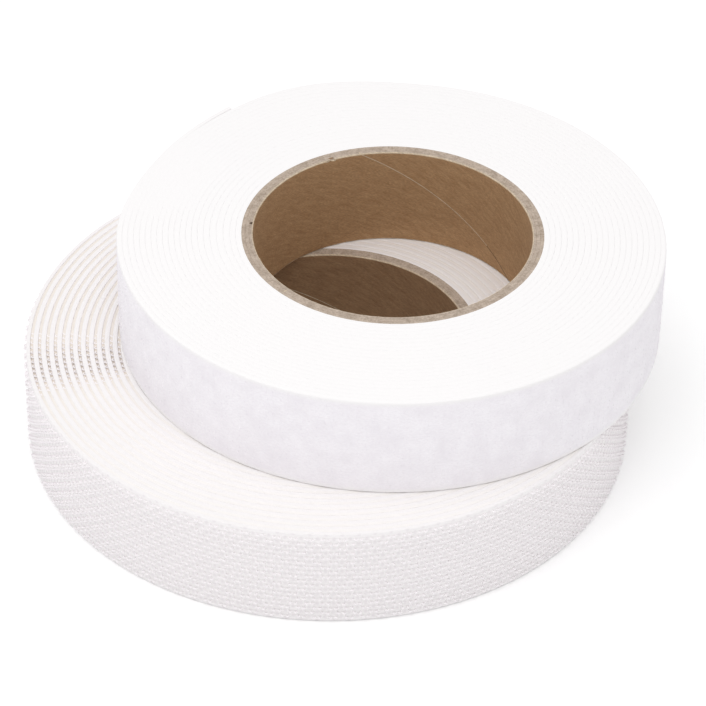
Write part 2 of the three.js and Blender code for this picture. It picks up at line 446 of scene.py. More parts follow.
# %% [markdown]
# Where the tube was cut to length the board shows its torn core: paler and greyer than the face,
# fuzzy and patchy. The cut face has a material of its own, because a cut never takes the colour of
# the calendered face. One dark speck sits on the left of the upper rim.

# %% Cut kraft board: pale, greyish and fuzzy
# The fuzz is drawn coarser than the fibres that make it, which are too fine to show.
CUT_FUZZ = 0.5
CUT_PATCH = 1.6
SPECK_BEARING = math.radians(175.5)
SPECK_INSET = 0.54 * MM
SPECK_SINK = 0.05 * MM
SPECK_SIZE = 0.75 * MM

roll = ROLLS["loop"]
speck_radius = roll["bore_radius"] + SPECK_INSET
speck_place = (roll["axis"].x + speck_radius * math.cos(SPECK_BEARING),
               roll["axis"].y + speck_radius * math.sin(SPECK_BEARING),
               roll["top"] - SPECK_SINK)

cut_board, tree, shader = start_material("cut_kraft_board")
place = add(tree, "ShaderNodeTexCoord")
fuzz = add(tree, "ShaderNodeTexNoise", {"Vector": place.outputs["Object"], "Scale": 1 / (CUT_FUZZ * MM),
                                        "Detail": 3.0})
patch = add(tree, "ShaderNodeTexNoise", {"Vector": place.outputs["Object"], "Scale": 1 / (CUT_PATCH * MM),
                                         "Detail": 3.0})
mixed = add(tree, "ShaderNodeMath", {0: fuzz.outputs["Fac"], 1: patch.outputs["Fac"]}, operation="ADD")
tone = add(tree, "ShaderNodeMapRange", {"Value": mixed.outputs[0], "From Min": 0.75, "From Max": 1.25})
colour = add(tree, "ShaderNodeMix", {0: tone.outputs[0], 6: linear("A19182"), 7: linear("C4B4A5")},
             data_type="RGBA")
away = add(tree, "ShaderNodeVectorMath", {0: place.outputs["Object"], 1: speck_place}, operation="DISTANCE")
mark = add(tree, "ShaderNodeMapRange", {"Value": away.outputs["Value"], "From Min": 0.5 * SPECK_SIZE,
                                        "From Max": SPECK_SIZE, "To Min": 1.0, "To Max": 0.0})
marked = add(tree, "ShaderNodeMix", {0: mark.outputs[0], 6: colour.outputs[2], 7: linear("4A3829")},
             data_type="RGBA")
relief = add(tree, "ShaderNodeBump", {"Height": fuzz.outputs["Fac"], "Strength": 0.6, "Distance": 0.12 * MM})
tree.links.new(marked.outputs[2], shader.inputs["Base Color"])
tree.links.new(relief.outputs[0], shader.inputs["Normal"])
shader.inputs["Roughness"].default_value = 0.95
shader.inputs["IOR"].default_value = 1.5
print("cut board fuzz", CUT_FUZZ, "mm")

# %% [markdown]
# A ply that was cut and wound has more than one finish: its calendered face, the cut rims, and frayed
# fibre along the seam and the torn inner rim. At the lower end of the upper core's seam the faces are
# painted very dark, as painted shade in the seam's gap. The finish of each face is chosen while the
# ply is still flat, where a rim is simply a face that looks along y.

# %% Finish a flat ply
TORN_ROUND = 0.3 * MM
SEAM_FRAY = 0.2 * MM
SEAM_SHADE_FROM = 0.8
RIM_ROUGHNESS = 0.07 * MM
RIM_GRAIN = Vector((1.3, 1.0)) * MM
PLY_SLICE = 9.0
NICK_BEARING = math.radians(117)
NICK_HALF = 0.9 * MM
NICK_DEPTH = 0.45 * MM
NICK_REACH = 0.5 * MM
NICK_CUTS = (-1, -0.6, -0.2, 0.2, 0.6, 1)
FACE, CUT, FRAYED, SEAM_SHADE = range(4)


def cut_across(bm, places):
    """Cuts a flat strip across at each place, so that faces and points end there."""
    for x in places:
        whole = bm.verts[:] + bm.edges[:] + bm.faces[:]
        bmesh.ops.bisect_plane(bm, geom=whole, dist=NEAR, plane_co=(x, 0, 0), plane_no=(1, 0, 0))


def finish_faces(bm, length, width, is_inner, is_seam_shaded):
    """Gives each face of a flat ply its finish."""
    for face in bm.faces:
        middle = face.calc_center_median()
        at_seam = min(middle.x, length - middle.x) < SEAM_FRAY
        torn = is_inner and middle.z < TORN_ROUND and NEAR < abs(face.normal.y) < 0.99
        face.material_index = FACE
        if abs(face.normal.y) > 0.5:
            face.material_index = CUT
        if at_seam or torn:
            face.material_index = FRAYED
        # Painted shade: the seam's lower end gets the very dark kraft.
        if at_seam and is_seam_shaded and middle.y > SEAM_SHADE_FROM * width:
            face.material_index = SEAM_SHADE


def roughen_rims(bm, width, index, nick):
    """Makes both cut rims of a flat ply uneven, and presses in the nick where there is one."""
    for vert in bm.verts:
        grain = (vert.co.x / RIM_GRAIN.x, PLY_SLICE * index, vert.co.z / RIM_GRAIN.y)
        ragged = noise.noise(grain) * RIM_ROUGHNESS
        vert.co.y += (ragged + RIM_ROUGHNESS) * (1 - 2 * vert.co.y / width)
        if nick is not None and vert.co.y < NICK_REACH:
            vert.co.y += NICK_DEPTH * max(0, 1 - abs(vert.co.x - nick) / NICK_HALF)


print("nick", 2 * NICK_HALF / MM, "mm wide, rims uneven by", RIM_ROUGHNESS / MM, "mm")

# %% [markdown]
# Each core is three paper plies, wound at a slant so that every ply has a diagonal butt seam. A tube
# with a line drawn on it would look similar from afar. Here each ply is a flat strip that is sheared
# and then rolled up for one turn, so the seam is a real gap with pale cut edges. The seams of the
# three plies lie a third of a turn apart.

# %% Roll up the core plies
PLIES = ("inner", "middle", "outer")
PLY_PITCH = 1.05 * MM
PLY_THICKNESS = 1.04 * MM
PLY_STEPS = 240
PLY_ROWS = 24
PLY_ROUND = 0.06 * MM
SEAM_BEARING = {"hook": math.radians(136), "loop": math.radians(104)}
SEAM_STAGGER = math.radians(120)
SEAM_LEAD = 144 * MM
SEAM_WIDTH = 0.03 * MM


def ply_object(kind, index):
    """One ply of a core: a sheared flat strip, rolled up for one turn."""
    roll = ROLLS[kind]
    radius = roll["bore_radius"] + index * PLY_PITCH
    seam = SEAM_BEARING[kind] + index * SEAM_STAGGER
    winding = Winding(roll["axis"], roll["top"], radius, radius, 1, seam).measure(PLY_THICKNESS / 2)
    around = winding.length_at(1)
    winding.slant = around / SEAM_LEAD
    width = roll["top"] - roll["bottom"]
    length = around - SEAM_WIDTH
    is_inner = index == 0
    is_nicked = is_inner and kind == "loop"
    nick = around * (1 - (NICK_BEARING - seam) / (2 * math.pi)) if is_nicked else None
    bore_edge = TORN_ROUND if is_inner else PLY_ROUND
    bm = flat_strip(length, width, PLY_THICKNESS, PLY_STEPS, bore_edge, PLY_ROUND, rows=PLY_ROWS)
    cut_across(bm, [SEAM_FRAY, length - SEAM_FRAY])
    if is_nicked:
        cut_across(bm, [nick + part * NICK_HALF for part in NICK_CUTS])
    finish_faces(bm, length, width, is_inner, is_nicked)
    roughen_rims(bm, width, index, nick)
    name = f"{kind}_core_{PLIES[index]}_paper"
    made = wound_object(name, bm, winding, kraft[kind], cut_board, frayed, seam_shade_kraft)
    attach(made, f"{kind}_roll")
    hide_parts(f"{kind}_core_{PLIES[index]}_ply")
    return made


for kind in ROLLS:
    for index in range(len(PLIES)):
        print(ply_object(kind, index).name)

# %% [markdown]
# The knife that cut the upper tube left small flakes of torn fibre along the inner edge on the left,
# and one larger flap at the nick. Each is a flattened ball, placed in the flat coordinates of the
# inner ply and wound with it, so it sits on the edge from any side.

# %% Torn fibres on the upper core
FLAKES = 16
FLAKE_SEED = 5
FLAKE_BEARINGS = (138, 202)
FLAKE_SMALLEST = (0.25, 0.1, 0.05)
FLAKE_LARGEST = (0.6, 0.2, 0.09)
FLAKE_DEPTHS = (0.12, 0.3)
FLAKE_LIFT = 0.02 * MM
FLAKE_TURN = 0.25
FLAP_HALF = Vector((1.1, 0.4, 0.14)) * MM
FLAP_BEARING = math.degrees(NICK_BEARING) + 1.2

rng = np.random.default_rng(FLAKE_SEED)
roll = ROLLS["loop"]
bore = roll["bore_radius"]
rim_winding = Winding(roll["axis"], roll["top"], bore, bore, 1, 0).measure(PLY_THICKNESS / 2)
bearings = [FLAP_BEARING] + list(rng.uniform(*FLAKE_BEARINGS, FLAKES))
bm = bmesh.new()
for number, bearing in enumerate(bearings):
    half = FLAP_HALF if number == 0 else Vector(rng.uniform(FLAKE_SMALLEST, FLAKE_LARGEST)) * MM
    around = rim_winding.length_at(1 - bearing / 360)
    spot = Vector((around, rng.uniform(*FLAKE_DEPTHS) * MM, FLAKE_LIFT))
    turn = Matrix.Rotation(rng.normal(0, FLAKE_TURN), 4, "Z")
    placed = Matrix.Translation(spot) @ turn @ Matrix.Diagonal(half).to_4x4()
    bmesh.ops.create_icosphere(bm, subdivisions=1, radius=1, matrix=placed)
torn = wound_object("loop_core_torn_fibre", bm, rim_winding, frayed)
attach(torn, "loop_roll")
print("torn fibres:", len(bearings))

# %% [markdown]
# The tab that holds the inner end of each tape on its core is double-sided tape on a paper carrier.
# Its CAD shape is right, so the node stays and only gets its finish: cream, satin, with a faint grain.

# %% Double-sided paper tape: cream and satin
TISSUE_GRAIN = 0.8

tissue, tree, shader = start_material("double_sided_paper_tape")
place = add(tree, "ShaderNodeTexCoord")
grain = add(tree, "ShaderNodeTexNoise", {"Vector": place.outputs["Object"], "Scale": 1 / (TISSUE_GRAIN * MM)})
colour = add(tree, "ShaderNodeMix", {0: grain.outputs["Fac"], 6: linear("DDD2B4"), 7: linear("EAE2CA")},
             data_type="RGBA")
tree.links.new(colour.outputs[2], shader.inputs["Base Color"])
shader.inputs["Roughness"].default_value = 0.45
for kind in ROLLS:
    node = frame["nodes"][f"{kind}_core_tab"]
    node.data.materials.clear()
    node.data.materials.append(tissue)
print("tabs finished:", [f"{kind}_core_tab" for kind in ROLLS])

# %% [markdown]
# Loop tape is a woven nylon band whose face is brushed until it is a felt of tiny loops. It is white
# and very matt, with a soft sheen at grazing angles and a slightly cloudy nap. The clouds and the fine
# nap are noise in the flat coordinates, stretched a little along the brushing. The selvedge, the bare
# woven margin along both edges, is a plainer white, and so are the faces of the roll, which it makes.

# %% Brushed nylon loop pile: white, matt, with a soft sheen
# A thread of the pile is about 0.05 mm thick, too fine to show, so the nap is drawn as small tufts.
NAP_SIZE = 0.5
NAP_CLOUD = 5.0
EDGE_WANDER = 0.03 * MM
STRIP_WIDTH = ROLLS["loop"]["top"] - ROLLS["loop"]["bottom"] - 2 * EDGE_WANDER
SELVEDGE = 2 * MM


def from_edge(tree, flat):
    """An output with the distance to the nearest long edge of a tape, from its flat coordinates."""
    parts = add(tree, "ShaderNodeSeparateXYZ", {0: flat.outputs["Vector"]})
    inwards = add(tree, "ShaderNodeMath", {0: parts.outputs["Y"], 1: STRIP_WIDTH / 2}, operation="PINGPONG")
    return inwards.outputs[0]


loop_nylon, tree, shader = start_material("brushed_nylon_loop_pile")
flat = add(tree, "ShaderNodeAttribute", attribute_name="flat")
brushed = add(tree, "ShaderNodeMapping", {"Vector": flat.outputs["Vector"], "Scale": (0.6, 1.0, 1.0)})
nap = add(tree, "ShaderNodeTexNoise", {"Vector": brushed.outputs[0], "Scale": 1 / (NAP_SIZE * MM),
                                       "Detail": 3.0})
cloud = add(tree, "ShaderNodeTexNoise", {"Vector": flat.outputs["Vector"], "Scale": 1 / (NAP_CLOUD * MM)})
tone = add(tree, "ShaderNodeMath", {0: nap.outputs["Fac"], 1: cloud.outputs["Fac"]}, operation="MULTIPLY")
step = add(tree, "ShaderNodeMapRange", {"Value": tone.outputs[0], "From Min": 0.12, "From Max": 0.4})
felt = add(tree, "ShaderNodeMix", {0: step.outputs[0], 6: linear("F2EEF3"), 7: linear("FAF7FB")},
           data_type="RGBA")
bare = add(tree, "ShaderNodeMapRange", {"Value": from_edge(tree, flat), "From Max": SELVEDGE,
                                        "To Min": 1.0, "To Max": 0.0}, interpolation_type="SMOOTHSTEP")
colour = add(tree, "ShaderNodeMix", {0: bare.outputs[0], 6: felt.outputs[2], 7: linear("F8F6F6")},
             data_type="RGBA")
relief = add(tree, "ShaderNodeBump", {"Height": nap.outputs["Fac"], "Strength": 0.35, "Distance": 0.15 * MM})
tree.links.new(colour.outputs[2], shader.inputs["Base Color"])
tree.links.new(relief.outputs[0], shader.inputs["Normal"])
shader.inputs["Roughness"].default_value = 0.95
shader.inputs["IOR"].default_value = 1.53
shader.inputs["Sheen Weight"].default_value = 0.15
shader.inputs["Sheen Roughness"].default_value = 0.6
print("nap", NAP_SIZE, "mm, clouds", NAP_CLOUD, "mm")

# %% [markdown]
# Each tape is one strip, 30 mm wide and about 7.6 m long, wound from the core outwards, and the number
# of turns follows from its length. The strip is split at the peel line: the wound part rides on the
# roll, and the last 60 mm is a piece of its own, wound like the rest.

# %% How a tape is wound, and where its free end starts
TAPE_LENGTH = 7620 * MM
CORE_RADIUS = {kind: ROLLS[kind]["bore_radius"] + len(PLIES) * PLY_PITCH for kind in ROLLS}
STEPS_PER_TURN = 120
TAIL_STEPS = 60
TURN_GAP = 0.01 * MM


def tape_winding(kind, thickness, packed, ripple, seed, dents=()):
    """The winding of one roll's tape, and the places along it where it starts, comes free and ends."""
    roll = ROLLS[kind]
    inner = CORE_RADIUS[kind]
    outer = roll["outer_radius"] - thickness
    turns = TAPE_LENGTH / (math.pi * (inner + outer + thickness))
    winding = Winding(roll["axis"], roll["top"] - EDGE_WANDER, inner, outer, turns, roll["end_bearing"])
    winding.loosen(ripple, EDGE_WANDER, seed)
    for centre, reach, height in dents:
        winding.dent(math.radians(centre), math.radians(reach), height)
    winding.fill(packed, TURN_GAP)
    winding.measure(thickness / 2)
    free_turn = ((roll["peel_bearing"] - roll["end_bearing"]) / (2 * math.pi)) % 1
    print(kind, "turns", round(turns, 2), "pitch in mm", round((outer - inner) / turns / MM, 3))
    return winding, [winding.length_at(turn) for turn in (-FIRST_CLIMB, turns - free_turn, turns)]


def bend_tail(made):
    """Bakes the placement of a piece of the free end into its mesh."""
    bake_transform(made)


print("core radius in mm:", {kind: round(radius / MM, 2) for kind, radius in CORE_RADIUS.items()})

# %% [markdown]
# The loop roll is soft: its turns fill all the room between them, its outline is a little uneven at
# the back, and the edges of its outermost turn are rounded where nothing presses on them. A larger
# bevel all along the strip would open grooves between the inner turns, so the bevel is made small and
# then widened where the strip lies outside.

# %% Wind the loop tape
LOOP_THICKNESS = 1.54 * MM
LOOP_BACK_ROUND = 0.05 * MM
LOOP_FACE_ROUND = 0.06 * MM
OUTER_ROUND = 0.5 * MM
ROUND_EASE = 15 * MM
LOOP_RIPPLE = 0.012 * MM
LOOP_SEED = 3.0
# Bearing and reach in degrees, and height
LOOP_DENTS = ((112, 30, 2.8 * MM), (158, 25, -1.2 * MM), (275, 45, -0.3 * MM))


def round_edges(strip, places, radii):
    """Widens the rounding of the face's two long edges, from radius to radius along the strip."""
    for vert in strip.verts:
        below = LOOP_THICKNESS - vert.co.z
        upper = vert.co.y < STRIP_WIDTH / 2
        inwards = vert.co.y if upper else STRIP_WIDTH - vert.co.y
        if max(below, inwards) < LOOP_FACE_ROUND + NEAR:
            growth = float(np.interp(vert.co.x, places, radii)) / LOOP_FACE_ROUND
            vert.co.z = LOOP_THICKNESS - growth * below
            vert.co.y = growth * inwards if upper else STRIP_WIDTH - growth * inwards


loop_winding, places = tape_winding("loop", LOOP_THICKNESS, LOOP_THICKNESS,
                                    LOOP_RIPPLE, LOOP_SEED, LOOP_DENTS)
loop_start, loop_split, loop_end = places
loop_steps = round(loop_winding.turns * STEPS_PER_TURN)
strip = flat_strip(loop_split - loop_start, STRIP_WIDTH, LOOP_THICKNESS, loop_steps,
                   LOOP_BACK_ROUND, LOOP_FACE_ROUND, loop_start)
last_turn = loop_winding.length_at(loop_winding.turns - 1)
round_edges(strip, [last_turn - ROUND_EASE, last_turn], [LOOP_FACE_ROUND, OUTER_ROUND])
loop_wound = wound_object("loop_tape_wound", strip, loop_winding, loop_nylon)
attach(loop_wound, "loop_roll")
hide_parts("loop_tape")

strip = flat_strip(loop_end - loop_split, STRIP_WIDTH, LOOP_THICKNESS, TAIL_STEPS,
                   LOOP_BACK_ROUND, LOOP_FACE_ROUND, loop_split)
round_edges(strip, [loop_split, loop_end], [OUTER_ROUND, OUTER_ROUND])
loop_free = wound_object("loop_tape_free_end", strip, loop_winding, loop_nylon)
bend_tail(loop_free)
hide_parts("loop_tape_tail")
print("loop tape:", round(loop_end, 3), "m,", len(loop_wound.data.polygons), "faces")

# %% [markdown]
# Hook tape is a stiffer woven nylon band. Its face has fine ribs, and a lattice of shallow hollows
# where the hooks are bound into the weave. The hooks are modelled further on, and the ribs and hollows
# are the material's: two cosines, one along and one across the tape, set in step with the hooks, make
# the lattice. The hollows are bumped in and also painted darker, as painted shade between the hooks.
# Its cut edges, which make the faces of the roll, are a plain matt white.

# %% Woven nylon ground: white with fine ribs and a lattice of hollows in painted shade
# The ribs are drawn as pairs of threads, because single threads of about 0.4 mm don't show.
RIB_SPACING = 0.79
CELL_LENGTH = 4.2 * MM
ROW_SPACING = 1.57 * MM
HOOK_ROWS = 18
ROW_MARGIN = (STRIP_WIDTH - (HOOK_ROWS - 1) * ROW_SPACING) / 2
HOLLOW_PLACE = 0.75 * CELL_LENGTH
CUT_EDGE = 0.3 * MM
TONE_SIZE = 2.0
# A wave texture of scale 1 repeats every pi / 10.
WAVE_LENGTH = 0.314

hook_nylon, tree, shader = start_material("woven_nylon_ground")
flat = add(tree, "ShaderNodeAttribute", attribute_name="flat")
ahead = 2 * math.pi / CELL_LENGTH
across = math.pi / ROW_SPACING
turned = add(tree, "ShaderNodeMapping", {"Vector": flat.outputs["Vector"], "Scale": (ahead, across, 0),
                                         "Location": (-HOLLOW_PLACE * ahead, -ROW_MARGIN * across, 0)})
angles = add(tree, "ShaderNodeSeparateXYZ", {0: turned.outputs[0]})
columns = add(tree, "ShaderNodeMath", {0: angles.outputs["X"]}, operation="COSINE")
rows = add(tree, "ShaderNodeMath", {0: angles.outputs["Y"]}, operation="COSINE")
crossed = add(tree, "ShaderNodeMath", {0: columns.outputs[0], 1: rows.outputs[0]}, operation="ADD")
lattice = add(tree, "ShaderNodeMath", {0: columns.outputs[0], 1: crossed.outputs[0]}, operation="MULTIPLY")
# One mask for the hollows: it bumps them in and also paints their shade.
hollow_and_shade = add(tree, "ShaderNodeMapRange", {"Value": lattice.outputs[0], "From Min": 0.7, "From Max": 1.95})
ribs = add(tree, "ShaderNodeTexWave", {"Vector": flat.outputs["Vector"],
                                       "Scale": WAVE_LENGTH / (RIB_SPACING * MM),
                                       "Distortion": 0.6, "Detail": 1.0}, bands_direction="Y")
tone = add(tree, "ShaderNodeTexNoise", {"Vector": flat.outputs["Vector"], "Scale": 1 / (TONE_SIZE * MM)})
ground = add(tree, "ShaderNodeMix", {0: tone.outputs["Fac"], 6: linear("F8F4F5"), 7: linear("FDFBFB")},
             data_type="RGBA")
# Painted shade: the hollows are painted a darker white, F1ECEE, for the shade between the hooks.
ground_with_painted_shade = add(tree, "ShaderNodeMix", {0: hollow_and_shade.outputs[0], 6: ground.outputs[2], 7: linear("F1ECEE")},
             data_type="RGBA")
cut = add(tree, "ShaderNodeMapRange", {"Value": from_edge(tree, flat), "From Max": CUT_EDGE,
                                       "To Min": 1.0, "To Max": 0.0})
colour = add(tree, "ShaderNodeMix", {0: cut.outputs[0], 6: ground_with_painted_shade.outputs[2], 7: linear("F3F0F0")},
             data_type="RGBA")
height = add(tree, "ShaderNodeMath", {0: ribs.outputs["Fac"], 1: hollow_and_shade.outputs[0]}, operation="SUBTRACT")
relief = add(tree, "ShaderNodeBump", {"Height": height.outputs[0], "Strength": 0.4, "Distance": 0.12 * MM})
tree.links.new(colour.outputs[2], shader.inputs["Base Color"])
tree.links.new(relief.outputs[0], shader.inputs["Normal"])
shader.inputs["Roughness"].default_value = 0.8
shader.inputs["IOR"].default_value = 1.53
print("ribs", RIB_SPACING, "mm apart, hollows", CELL_LENGTH / MM, "mm apart")

# %% [markdown]
# The hook strip is thinner than the loop strip, because its hooks take up the rest of each turn. On
# the inner turns they are pressed deep into the tape, so the band of each turn looks thicker there,
# most of all under the free end. The back of the free end sinks in between the hooks below it, which
# leaves no dark gap at its seam.

# %% Wind the hook tape
HOOK_GROUND = 1.05 * MM
HOOK_HEIGHT = 1.98 * MM
HOOK_BACK_ROUND = 0.15 * MM
HOOK_FACE_ROUND = 0.3 * MM
INNER_GROUND = 1.34 * MM
PRESSED_GROUND = 1.42 * MM
PRESSED_EASE = 20 * MM
PACKED_HEIGHT = 2.13 * MM
TAIL_SINK = 0.62 * MM
TAIL_EASE = 4 * MM
HOOK_RIPPLE = 0.04 * MM
HOOK_SEED = 7.0

hook_winding, places = tape_winding("hook", HOOK_HEIGHT, PACKED_HEIGHT, HOOK_RIPPLE, HOOK_SEED)
hook_start, hook_split, hook_end = places
one_turn = hook_split - hook_winding.one_turn_before(hook_split)
cover_starts = hook_split - one_turn
cover_ends = hook_end - one_turn
ground_places = [cover_starts - PRESSED_EASE, cover_starts, cover_ends, cover_ends + PRESSED_EASE]
ground_heights = [INNER_GROUND, PRESSED_GROUND, PRESSED_GROUND, HOOK_GROUND]
hook_steps = round(hook_winding.turns * STEPS_PER_TURN)
strip = flat_strip(hook_split - hook_start, STRIP_WIDTH, HOOK_GROUND, hook_steps,
                   HOOK_BACK_ROUND, HOOK_FACE_ROUND, hook_start)
for vert in strip.verts:
    vert.co.z *= np.interp(vert.co.x, ground_places, ground_heights) / HOOK_GROUND
hook_wound = wound_object("hook_tape_wound", strip, hook_winding, hook_nylon)
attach(hook_wound, "hook_roll")
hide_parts("hook_tape")

strip = flat_strip(hook_end - hook_split, STRIP_WIDTH, HOOK_GROUND, TAIL_STEPS,
                   HOOK_BACK_ROUND, HOOK_FACE_ROUND, hook_split)
for vert in strip.verts:
    sunk = min(1, (vert.co.x - hook_split) / TAIL_EASE)
    vert.co.z -= TAIL_SINK * sunk * (1 - vert.co.z / HOOK_GROUND)
hook_free = wound_object("hook_tape_free_end", strip, hook_winding, hook_nylon)
bend_tail(hook_free)
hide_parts("hook_tape_tail")
print("hook tape:", round(hook_end, 3), "m,", len(hook_wound.data.polygons), "faces")

# %% [markdown]
# The hooks are cut loops of nylon monofilament, which is smooth, slightly glossy and a little creamy
# against the white ground, and unevenly tinted. Deeper in from the edges of the tape it is painted
# darker, as painted shade between the turns, and darkest and creamiest where it is packed.

# %% Nylon monofilament: smooth, slightly glossy, with painted shade deeper in
FILAMENT_TINT = 3.0
SHADE_STARTS = 0.1 * MM
SHADE_ENDS = 0.4 * MM


def monofilament(name, dark, pale, deep):
    """Smooth nylon thread between two tints, and a third, painted shade deeper in from its tape's edges."""
    material, tree, shader = start_material(name)
    flat = add(tree, "ShaderNodeAttribute", attribute_name="flat")
    tint = add(tree, "ShaderNodeTexNoise", {"Vector": flat.outputs["Vector"],
                                            "Scale": 1 / (FILAMENT_TINT * MM)})
    plain = add(tree, "ShaderNodeMix", {0: tint.outputs["Fac"], 6: linear(dark), 7: linear(pale)},
                data_type="RGBA")
    # Painted shade: the colour turns darker deeper in from the edges of the tape.
    painted_depth_shade = add(tree, "ShaderNodeMapRange", {"Value": from_edge(tree, flat), "From Min": SHADE_STARTS,
                                             "From Max": SHADE_ENDS})
    colour = add(tree, "ShaderNodeMix", {0: painted_depth_shade.outputs[0], 6: plain.outputs[2], 7: linear(deep)},
                 data_type="RGBA")
    tree.links.new(colour.outputs[2], shader.inputs["Base Color"])
    shader.inputs["Roughness"].default_value = 0.5
    shader.inputs["IOR"].default_value = 1.53
    return material


# The last tint of each is painted shade: slightly darker for free hooks, darker and creamier when packed.
filament = monofilament("nylon_monofilament", "F6F1F3", "FDFAFC", "F9F5F7")
packed_filament = monofilament("packed_nylon_monofilament", "F2EEEB", "F7F4F2", "E6DDD2")
print("monofilament tint", FILAMENT_TINT, "mm")

# %% [markdown]
# One hook is a short shank with a crook: a small circle that is extruded upwards and then spun half
# round. Four of them make the cell that repeats over the tape: two in a row that face each other, and
# two in the next row, half a cell further along. Thousands of hooks are made from it, so a hook has
# four sides and few steps.

# %% Make a hook and its cell
CROOK_RADIUS = 0.36 * MM
CROOK_TURN = math.radians(190)
THREAD_RADIUS = 0.17 * MM
THREAD_FLATTENING = 1.6
ROOT_DEPTH = 0.1 * MM
HOOK_SIDES = 4
HOOK_STEPS = 4


def one_hook(sides, steps, height):
    """A hook that stands on the ground at the origin of the flat strip and bends along x."""
    bm = bmesh.new()
    bmesh.ops.create_circle(bm, cap_ends=True, segments=sides, radius=THREAD_RADIUS)
    bmesh.ops.scale(bm, vec=(1, THREAD_FLATTENING, 1), verts=bm.verts)
    bmesh.ops.translate(bm, vec=(0, 0, HOOK_GROUND - ROOT_DEPTH), verts=bm.verts)
    crook_height = height - CROOK_RADIUS - THREAD_RADIUS
    extrude_up(bm, crook_height - HOOK_GROUND + ROOT_DEPTH)
    end = max(bm.faces, key=lambda face: face.calc_center_median().z)
    bmesh.ops.spin(bm, geom=[end] + end.edges[:] + end.verts[:], cent=(CROOK_RADIUS, 0, crook_height),
                   axis=(0, 1, 0), angle=CROOK_TURN, steps=steps)
    bmesh.ops.recalc_face_normals(bm, faces=bm.faces)
    return bm


def hook_cell():
    """Four hooks: a facing pair, and a second pair in the next row, half a cell along."""
    bm = one_hook(HOOK_SIDES, HOOK_STEPS, HOOK_HEIGHT)
    single = bm.verts[:] + bm.edges[:] + bm.faces[:]
    half = CELL_LENGTH / 2
    places = ((half, 0, math.pi), (half, ROW_SPACING, 0), (CELL_LENGTH, ROW_SPACING, math.pi))
    for along, across, turn in places:
        copy = bmesh.ops.duplicate(bm, geom=single)["geom"]
        verts = [v for v in copy if isinstance(v, bmesh.types.BMVert)]
        bmesh.ops.rotate(bm, cent=(0, 0, 0), matrix=Matrix.Rotation(turn, 3, "Z"), verts=verts)
        bmesh.ops.translate(bm, vec=(along, across, 0), verts=verts)
    return bm


one = one_hook(HOOK_SIDES, HOOK_STEPS, HOOK_HEIGHT)
print("one hook:", len(one.faces), "faces, open edges:", sum(not e.is_manifold for e in one.edges))
one.free()

# %% [markdown]
# The hooks of a tape stand in straight rows, but no two lean quite alike. Array modifiers spread the
# cell over the flat strip, because they repeat a shape exactly and at any spacing. Then each copy is
# turned and stretched a little about its own root, by seeded amounts, so every run gives the same
# tape. A scatter of instances would do this too, but the pieces have to end up as plain meshes.

# %% Spread a shape over a tape


def spread_cells(name, cell, *repeats):
    """A mesh with the cell repeated over the strip. Each repeat is a count and a step."""
    source = bpy.data.objects.new(name, finished_mesh(name, cell))
    bpy.context.collection.objects.link(source)
    for count, step in repeats:
        array = source.modifiers.new("array", "ARRAY")
        array.count = count
        array.use_relative_offset = False
        array.use_constant_offset = True
        array.constant_offset_displace = step
    seen = source.evaluated_get(bpy.context.evaluated_depsgraph_get())
    mesh = bpy.data.meshes.new_from_object(seen)
    bpy.data.objects.remove(source)
    return mesh


def unsettle(mesh, points_each, root_points, seed, turn_spread, height_spread, scatter=0.0):
    """Turns, stretches and shifts every copy by a small seeded amount about its own root."""
    rng = np.random.default_rng(seed)
    points = points_of(mesh).reshape(-1, points_each, 3)
    root = points[:, :root_points].mean(axis=1, keepdims=True)
    offset = points - root
    root = root + rng.uniform(-1, 1, root.shape) * (scatter, scatter, 0)
    turn = rng.normal(0, turn_spread, (len(points), 1))
    stretch = rng.uniform(1 - height_spread, 1, (len(points), 1))
    turned = np.stack([offset[:, :, 0] * np.cos(turn) - offset[:, :, 1] * np.sin(turn),
                       offset[:, :, 0] * np.sin(turn) + offset[:, :, 1] * np.cos(turn),
                       offset[:, :, 2] * stretch], axis=2)
    mesh.vertices.foreach_set("co", (root + turned).ravel())


def shift(mesh, along, across):
    """Moves a flat mesh to its place on the strip."""
    mesh.transform(Matrix.Translation((along, across, 0)))


def triangles_of(mesh):
    """How many triangles a mesh comes to."""
    return sum(len(polygon.vertices) - 2 for polygon in mesh.polygons)


pair = spread_cells("pair", hook_cell(), (2, (CELL_LENGTH, 0, 0)))
print("two cells:", triangles_of(pair), "triangles")
bpy.data.meshes.remove(pair)

# %% [markdown]
# The outer turn of the hook roll shows the whole field of hooks. The field starts and ends on a whole
# cell, so that it stays in step with the hollows of the ground. On the free end it goes on, as a piece
# of its own.

# %% Hooks on the outer turn and on the free end
HOOK_TURN_SPREAD = math.radians(9)
HOOK_HEIGHT_SPREAD = 0.05
HOOK_POINTS = HOOK_SIDES * (HOOK_STEPS + 2)
FIELD_ROWS = HOOK_ROWS // 2
FIELD_SEED = 11
FREE_SEED = 12

field_start = math.ceil(cover_starts / CELL_LENGTH) * CELL_LENGTH
free_start = math.floor(hook_split / CELL_LENGTH) * CELL_LENGTH
field_cells = round((free_start - field_start) / CELL_LENGTH)
free_cells = int((hook_end - free_start) / CELL_LENGTH)


def hook_field(name, cells, start, seed):
    """A field of hooks over the whole width of the tape, from a place along it."""
    mesh = spread_cells(name, hook_cell(), (cells, (CELL_LENGTH, 0, 0)),
                        (FIELD_ROWS, (0, 2 * ROW_SPACING, 0)))
    unsettle(mesh, HOOK_POINTS, HOOK_SIDES, seed, HOOK_TURN_SPREAD, HOOK_HEIGHT_SPREAD)
    shift(mesh, start, ROW_MARGIN)
    print(name, len(mesh.vertices) // HOOK_POINTS, "hooks,", triangles_of(mesh), "triangles")
    return wound_object(name, mesh, hook_winding, filament)


